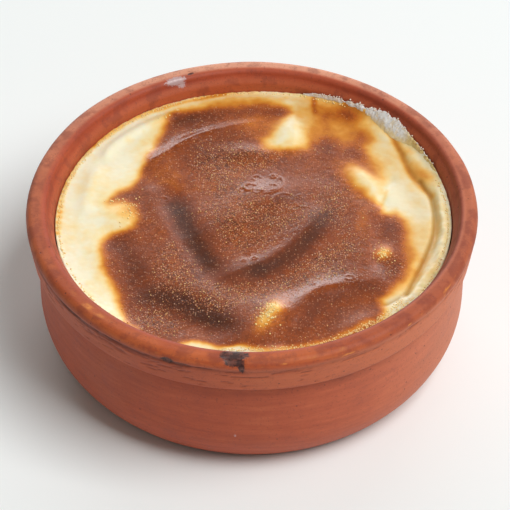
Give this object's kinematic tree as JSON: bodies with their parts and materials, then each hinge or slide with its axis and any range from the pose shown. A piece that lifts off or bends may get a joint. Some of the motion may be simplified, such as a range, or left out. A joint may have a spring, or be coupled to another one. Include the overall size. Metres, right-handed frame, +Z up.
{
  "type": "oven-browned rice pudding in a clay bowl",
  "caption": "Baked rice pudding with a browned, folded skin, set level in its round unglazed clay bowl with a banded rim.",
  "frame": {"origin": "middle of the bowl's flat underside, on the surface it stands on", "axes": "+Z up along the bowl's axis, out of its mouth; +X to the right and +Y away as the bowl is usually seen"},
  "size_m": [0.1201, 0.1198, 0.0442],
  "materials": {
    "terracotta": "matte",
    "browned_pudding": "satin"
  },
  "bodies": {
    "root": {"clay_bowl": "terracotta", "pudding": "browned_pudding"}
  },
  "joints": []
}
